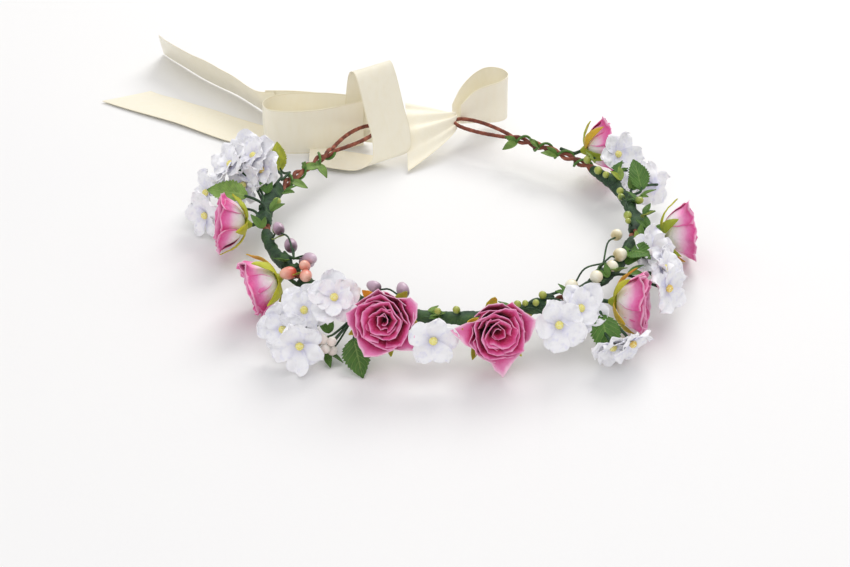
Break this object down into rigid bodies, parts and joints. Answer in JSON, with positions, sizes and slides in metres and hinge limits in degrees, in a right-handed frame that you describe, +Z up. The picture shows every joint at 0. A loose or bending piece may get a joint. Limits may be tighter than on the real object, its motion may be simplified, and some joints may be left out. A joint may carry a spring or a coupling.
{
  "type": "flower crown",
  "caption": "Open wire ring for the head with paper roses, florets, leaves and berries, an eye at each end, and a satin ribbon bow with two tails tied through the eyes.",
  "frame": {"origin": "centre of the ring's wire circle, on the table that it rests on", "axes": "+Z up out of the ring, +Y towards the ribbon at the back of the head, +X to the wearer's left when the front (-Y) is seen from the front"},
  "size_m": [0.2702, 0.3527, 0.0489],
  "materials": {
    "wire_paper": "crepe paper wound on wire, rust brown, matt",
    "floral_tape": "waxed crepe tape, dark green, dull satin",
    "rose_paper": "mulberry paper, pink fading to white, crumpled, matt",
    "sepal_paper": "paper, lime to olive, matt",
    "floret_fabric": "stiffened white fabric with pressed creases, matt",
    "leaf_paper": "paper, green, veined, matt",
    "berry_paint": "lacquered beads, cream, mauve, coral and white",
    "vine_paper": "paper on fine wire, green, matt",
    "satin_ribbon": "double-faced satin, ivory, soft sheen"
  },
  "bodies": {
    "crown": {"base_wire": "wire_paper", "berries_front_bud": "berry_paint", "berries_front_white": "berry_paint", "berries_left_coral": "berry_paint", "berries_left_mauve": "berry_paint", "berries_right_coral": "berry_paint", "berries_right_cream": "berry_paint", "floret_01": "floret_fabric", "floret_02": "floret_fabric", "floret_03": "floret_fabric", "floret_04": "floret_fabric", "floret_05": "floret_fabric", "floret_06": "floret_fabric", "floret_07": "floret_fabric", "floret_08": "floret_fabric", "floret_09": "floret_fabric", "floret_10": "floret_fabric", "floret_11": "floret_fabric", "floret_12": "floret_fabric", "floret_13": "floret_fabric", "floret_14": "floret_fabric", "floret_15": "floret_fabric", "floret_16": "floret_fabric", "floret_17": "floret_fabric", "floret_18": "floret_fabric", "leaf_1": "leaf_paper", "leaf_2": "leaf_paper", "leaf_3": "leaf_paper", "leaf_4": "leaf_paper", "leaf_5": "leaf_paper", "leaf_6": "leaf_paper", "tape_wrap_1": "floral_tape", "tape_wrap_2": "floral_tape", "tape_wrap_3": "floral_tape", "tape_wrap_4": "floral_tape", "tape_wrap_5": "floral_tape", "tape_wrap_6": "floral_tape", "vine_left": "vine_paper", "vine_right": "vine_paper"},
    "bow": {"bow_bridge": "satin_ribbon", "bow_loop_left": "satin_ribbon", "bow_loop_right": "satin_ribbon", "bow_tail_run": "satin_ribbon", "bow_wrap": "satin_ribbon"},
    "tail_upper": {"ribbon_tail_upper": "satin_ribbon"},
    "tail_lower": {"ribbon_tail_lower": "satin_ribbon"},
    "rose_1": {"rose_1_bloom": "rose_paper", "rose_1_calyx": "sepal_paper"},
    "rose_2": {"rose_2_bloom": "rose_paper", "rose_2_calyx": "sepal_paper"},
    "rose_3": {"rose_3_bloom": "rose_paper", "rose_3_calyx": "sepal_paper"},
    "rose_4": {"rose_4_bloom": "rose_paper", "rose_4_calyx": "sepal_paper"},
    "rose_5": {"rose_5_bloom": "rose_paper", "rose_5_calyx": "sepal_paper"},
    "rose_6": {"rose_6_bloom": "rose_paper", "rose_6_calyx": "sepal_paper"},
    "rose_7": {"rose_7_bloom": "rose_paper", "rose_7_calyx": "sepal_paper"}
  },
  "joints": [
    {"name": "bow_swing", "type": "hinge", "parent": "crown", "child": "bow", "pos_m": [0, 0.097, 0.015], "axis": [1, 0, 0], "range_deg": [-12, 11]},
    {"name": "tail_upper_swing", "type": "hinge", "parent": "bow", "child": "tail_upper", "pos_m": [-0.07076, 0.13947, 0.01056], "axis": [0.8704, 0.4924, 0], "range_deg": [-80, 30]},
    {"name": "tail_lower_swing", "type": "hinge", "parent": "bow", "child": "tail_lower", "pos_m": [-0.07526, 0.12197, 0.0002], "axis": [0.6293, 0.7771, 0], "range_deg": [-80, 30]},
    {"name": "rose_1_bend", "type": "hinge", "parent": "crown", "child": "rose_1", "pos_m": [-0.08546, 0.01661, 0.01536], "axis": [-0.1908, -0.9816, 0], "range_deg": [-9, 7]},
    {"name": "rose_2_bend", "type": "hinge", "parent": "crown", "child": "rose_2", "pos_m": [-0.07218, -0.04868, 0.01536], "axis": [0.5592, -0.829, 0], "range_deg": [-9, 9]},
    {"name": "rose_3_bend", "type": "hinge", "parent": "crown", "child": "rose_3", "pos_m": [-0.04742, -0.07301, 0.01536], "axis": [0.8387, -0.5446, 0], "range_deg": [-9, 9]},
    {"name": "rose_4_bend", "type": "hinge", "parent": "crown", "child": "rose_4", "pos_m": [-0.01212, -0.08621, 0.01536], "axis": [0.9903, -0.1392, 0], "range_deg": [-9, 9]},
    {"name": "rose_5_bend", "type": "hinge", "parent": "crown", "child": "rose_5", "pos_m": [0.03816, -0.07825, 0.01536], "axis": [0.8988, 0.4384, 0], "range_deg": [-9, 9]},
    {"name": "rose_6_bend", "type": "hinge", "parent": "crown", "child": "rose_6", "pos_m": [0.08516, -0.0181, 0.01536], "axis": [0.2079, 0.9781, 0], "range_deg": [-9, 9]},
    {"name": "rose_7_bend", "type": "hinge", "parent": "crown", "child": "rose_7", "pos_m": [0.06953, 0.05239, 0.01536], "axis": [-0.6018, 0.7986, 0], "range_deg": [-9, 9]}
  ]
}
